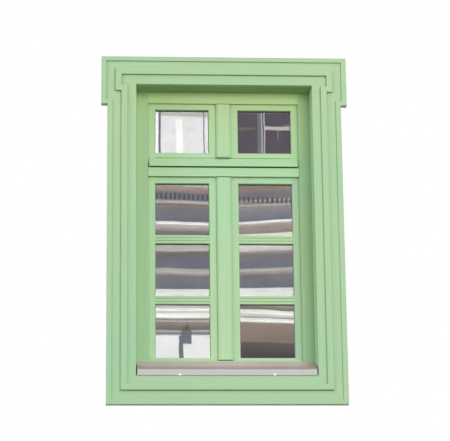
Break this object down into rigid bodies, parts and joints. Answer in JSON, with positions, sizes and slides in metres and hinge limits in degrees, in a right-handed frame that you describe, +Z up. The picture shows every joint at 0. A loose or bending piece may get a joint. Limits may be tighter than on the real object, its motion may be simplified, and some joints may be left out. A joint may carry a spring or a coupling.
{
  "type": "casement window",
  "caption": "Casement window with a bottom-hung top light in a moulded, eared surround: inward-opening leaves on a fixed mullion, lever handles, locking rods and a sloping sheet sill.",
  "frame": {"origin": "the middle of the surround's lower edge, on the face of the wall that the surround is planted on", "axes": "+X runs to the right seen from the street, +Y runs from the street into the building and +Z is up"},
  "size_m": [1.536, 0.3, 2.206],
  "materials": {
    "surround_paint": "painted, satin",
    "lining_paint": "painted, satin",
    "joinery_paint": "painted, satin",
    "glazing": "clear",
    "seal_rubber": "matt",
    "sill_metal": "satin",
    "clip_steel": "plain",
    "hinge_steel": "satin",
    "handle_metal": "anodised dark bronze, satin",
    "lock_steel": "plain"
  },
  "bodies": {
    "frame": {"casement_hinge_frame_halves": "hinge_steel", "frame_bottom_rail": "joinery_paint", "frame_head": "joinery_paint", "frame_jamb_left": "joinery_paint", "frame_jamb_right": "joinery_paint", "frame_seals": "seal_rubber", "lining_head": "lining_paint", "lining_left": "lining_paint", "lining_right": "lining_paint", "lock_keeps": "lock_steel", "mullion": "joinery_paint", "mullion_cover": "joinery_paint", "sill": "sill_metal", "sill_clips": "clip_steel", "sill_end_caps": "sill_metal", "surround_bottom": "surround_paint", "surround_head": "surround_paint", "surround_left": "surround_paint", "surround_right": "surround_paint", "toplight_hinge_frame_halves": "hinge_steel", "toplight_keep": "lock_steel", "transom": "joinery_paint"},
    "toplight": {"toplight_beads": "joinery_paint", "toplight_bottom_rail": "joinery_paint", "toplight_cover": "joinery_paint", "toplight_hinge_halves": "hinge_steel", "toplight_panes": "glazing", "toplight_post": "joinery_paint", "toplight_rose": "handle_metal", "toplight_stile_left": "joinery_paint", "toplight_stile_right": "joinery_paint", "toplight_top_rail": "joinery_paint", "toplight_weather_bar": "joinery_paint"},
    "toplight_latch": {"toplight_handle": "handle_metal", "toplight_tongue": "lock_steel"},
    "casement_left": {"casement_left_beads": "joinery_paint", "casement_left_bottom_rail": "joinery_paint", "casement_left_hinge_halves": "hinge_steel", "casement_left_hinge_stile": "joinery_paint", "casement_left_lock_stile": "joinery_paint", "casement_left_lower_bar": "joinery_paint", "casement_left_panes": "glazing", "casement_left_rose": "handle_metal", "casement_left_top_rail": "joinery_paint", "casement_left_upper_bar": "joinery_paint"},
    "lever_left": {"casement_left_handle": "handle_metal"},
    "rod_left": {"casement_left_rod": "lock_steel"},
    "casement_right": {"casement_right_beads": "joinery_paint", "casement_right_bottom_rail": "joinery_paint", "casement_right_hinge_halves": "hinge_steel", "casement_right_hinge_stile": "joinery_paint", "casement_right_lock_stile": "joinery_paint", "casement_right_lower_bar": "joinery_paint", "casement_right_panes": "glazing", "casement_right_rose": "handle_metal", "casement_right_top_rail": "joinery_paint", "casement_right_upper_bar": "joinery_paint"},
    "lever_right": {"casement_right_handle": "handle_metal"},
    "rod_right": {"casement_right_rod": "lock_steel"}
  },
  "joints": [
    {"name": "toplight_tilt", "type": "hinge", "parent": "frame", "child": "toplight", "pos_m": [0, 0.1925, 1.507], "axis": [-1, 0, 0], "range_deg": [0, 30]},
    {"name": "toplight_latch_turn", "type": "hinge", "parent": "toplight", "child": "toplight_latch", "pos_m": [0, 0.2, 1.939], "axis": [0, 1, 0], "range_deg": [0, 90]},
    {"name": "casement_left_swing", "type": "hinge", "parent": "frame", "child": "casement_left", "pos_m": [-0.5075, 0.1925, 0.88], "axis": [0, 0, 1], "range_deg": [0, 90]},
    {"name": "lever_left_turn", "type": "hinge", "parent": "casement_left", "child": "lever_left", "pos_m": [-0.055, 0.2, 0.88], "axis": [0, -1, 0], "range_deg": [0, 90]},
    {"name": "rod_left_slide", "type": "slide", "parent": "casement_left", "child": "rod_left", "axis": [0, 0, -1], "range_m": [0, 0.018]},
    {"name": "casement_right_swing", "type": "hinge", "parent": "frame", "child": "casement_right", "pos_m": [0.5075, 0.1925, 0.88], "axis": [0, 0, -1], "range_deg": [0, 90]},
    {"name": "lever_right_turn", "type": "hinge", "parent": "casement_right", "child": "lever_right", "pos_m": [0.055, 0.2, 0.88], "axis": [0, 1, 0], "range_deg": [0, 90]},
    {"name": "rod_right_slide", "type": "slide", "parent": "casement_right", "child": "rod_right", "axis": [0, 0, -1], "range_m": [0, 0.018]}
  ],
  "couplings": [
    {"joint": "rod_left_slide", "follows": "lever_left_turn", "m_per_rad": 0.011459},
    {"joint": "rod_right_slide", "follows": "lever_right_turn", "m_per_rad": 0.011459}
  ]
}
